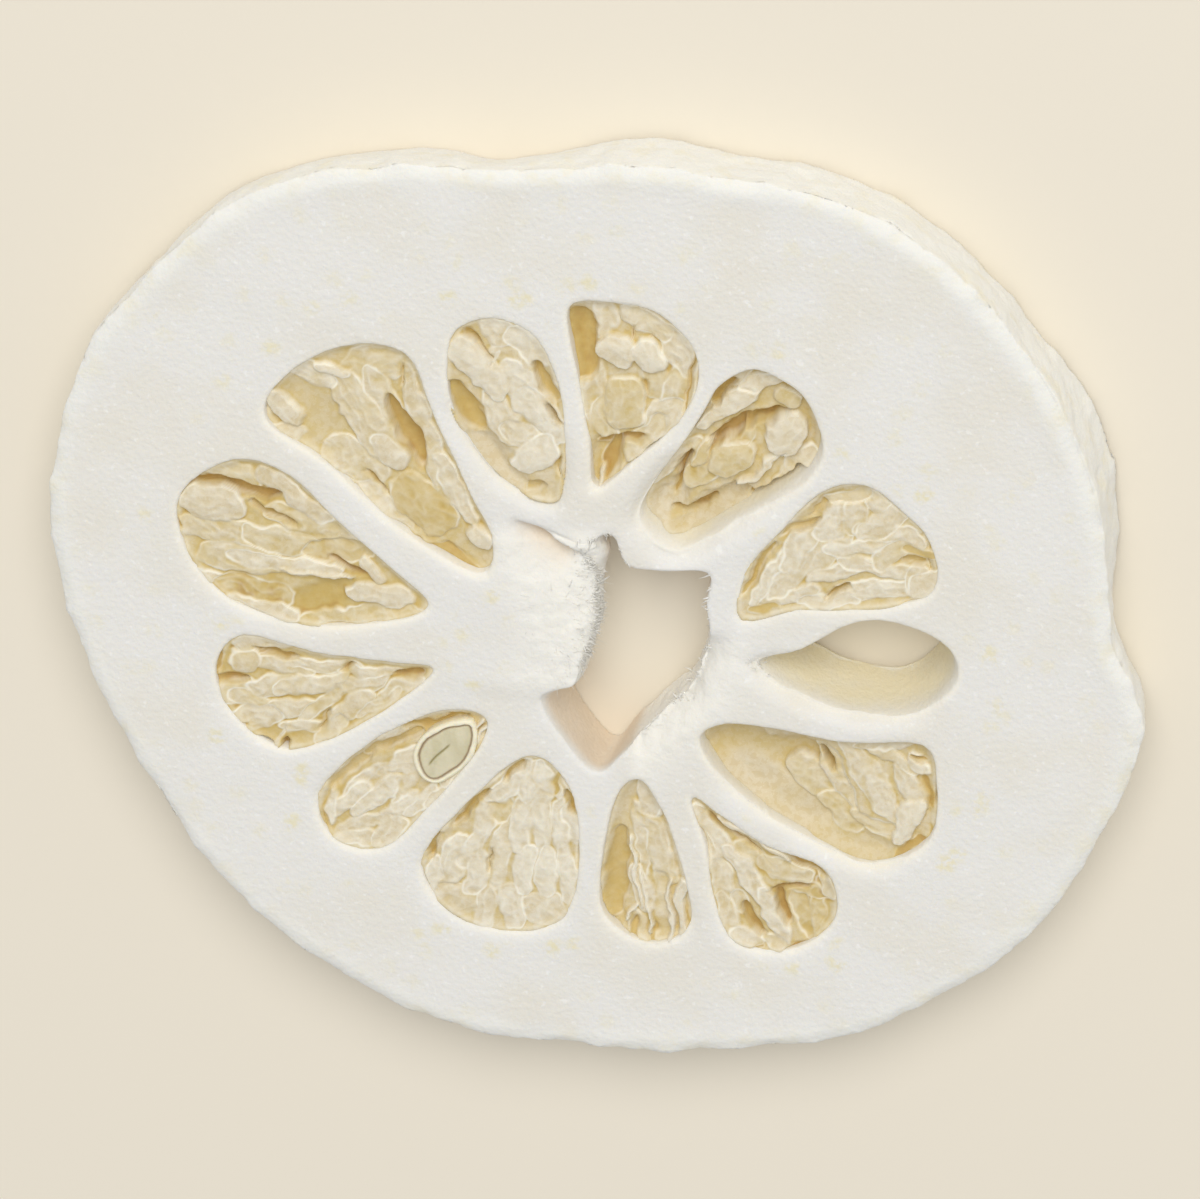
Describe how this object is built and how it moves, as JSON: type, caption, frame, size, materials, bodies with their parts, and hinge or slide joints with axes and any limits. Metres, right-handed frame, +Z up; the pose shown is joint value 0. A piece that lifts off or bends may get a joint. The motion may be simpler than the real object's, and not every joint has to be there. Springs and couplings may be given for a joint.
{
  "type": "freeze-dried etrog slice",
  "caption": "Freeze-dried cross slice of etrog citron: thick white pith with a torn core hole, pockets of pale dried pulp round it and a cut seed.",
  "frame": {"origin": "centre of the slice's box, on the flat surface that it lies on", "axes": "+Z up through the slice's thickness, from the lower cut face to the upper; +X along its longest extent; +Y across it"},
  "size_m": [0.0808, 0.0736, 0.0065],
  "materials": {
    "pith": "matte dry white pith with a fine powdery grain and small cream flecks",
    "pulp": "pale straw-coloured dried juice sacs, crinkled, with a faint satin sheen",
    "seed": "grey-green cut seed face with a thin brown skin and a cream coat"
  },
  "bodies": {
    "root": {"pith": "pith", "pulp_01": "pulp", "pulp_02": "pulp", "pulp_03": "pulp", "pulp_05": "pulp", "pulp_06": "pulp", "pulp_07": "pulp", "pulp_08": "pulp", "pulp_09": "pulp", "pulp_10": "pulp", "pulp_11": "pulp", "pulp_12": "pulp", "pulp_13": "pulp", "seed": "seed"}
  },
  "joints": []
}
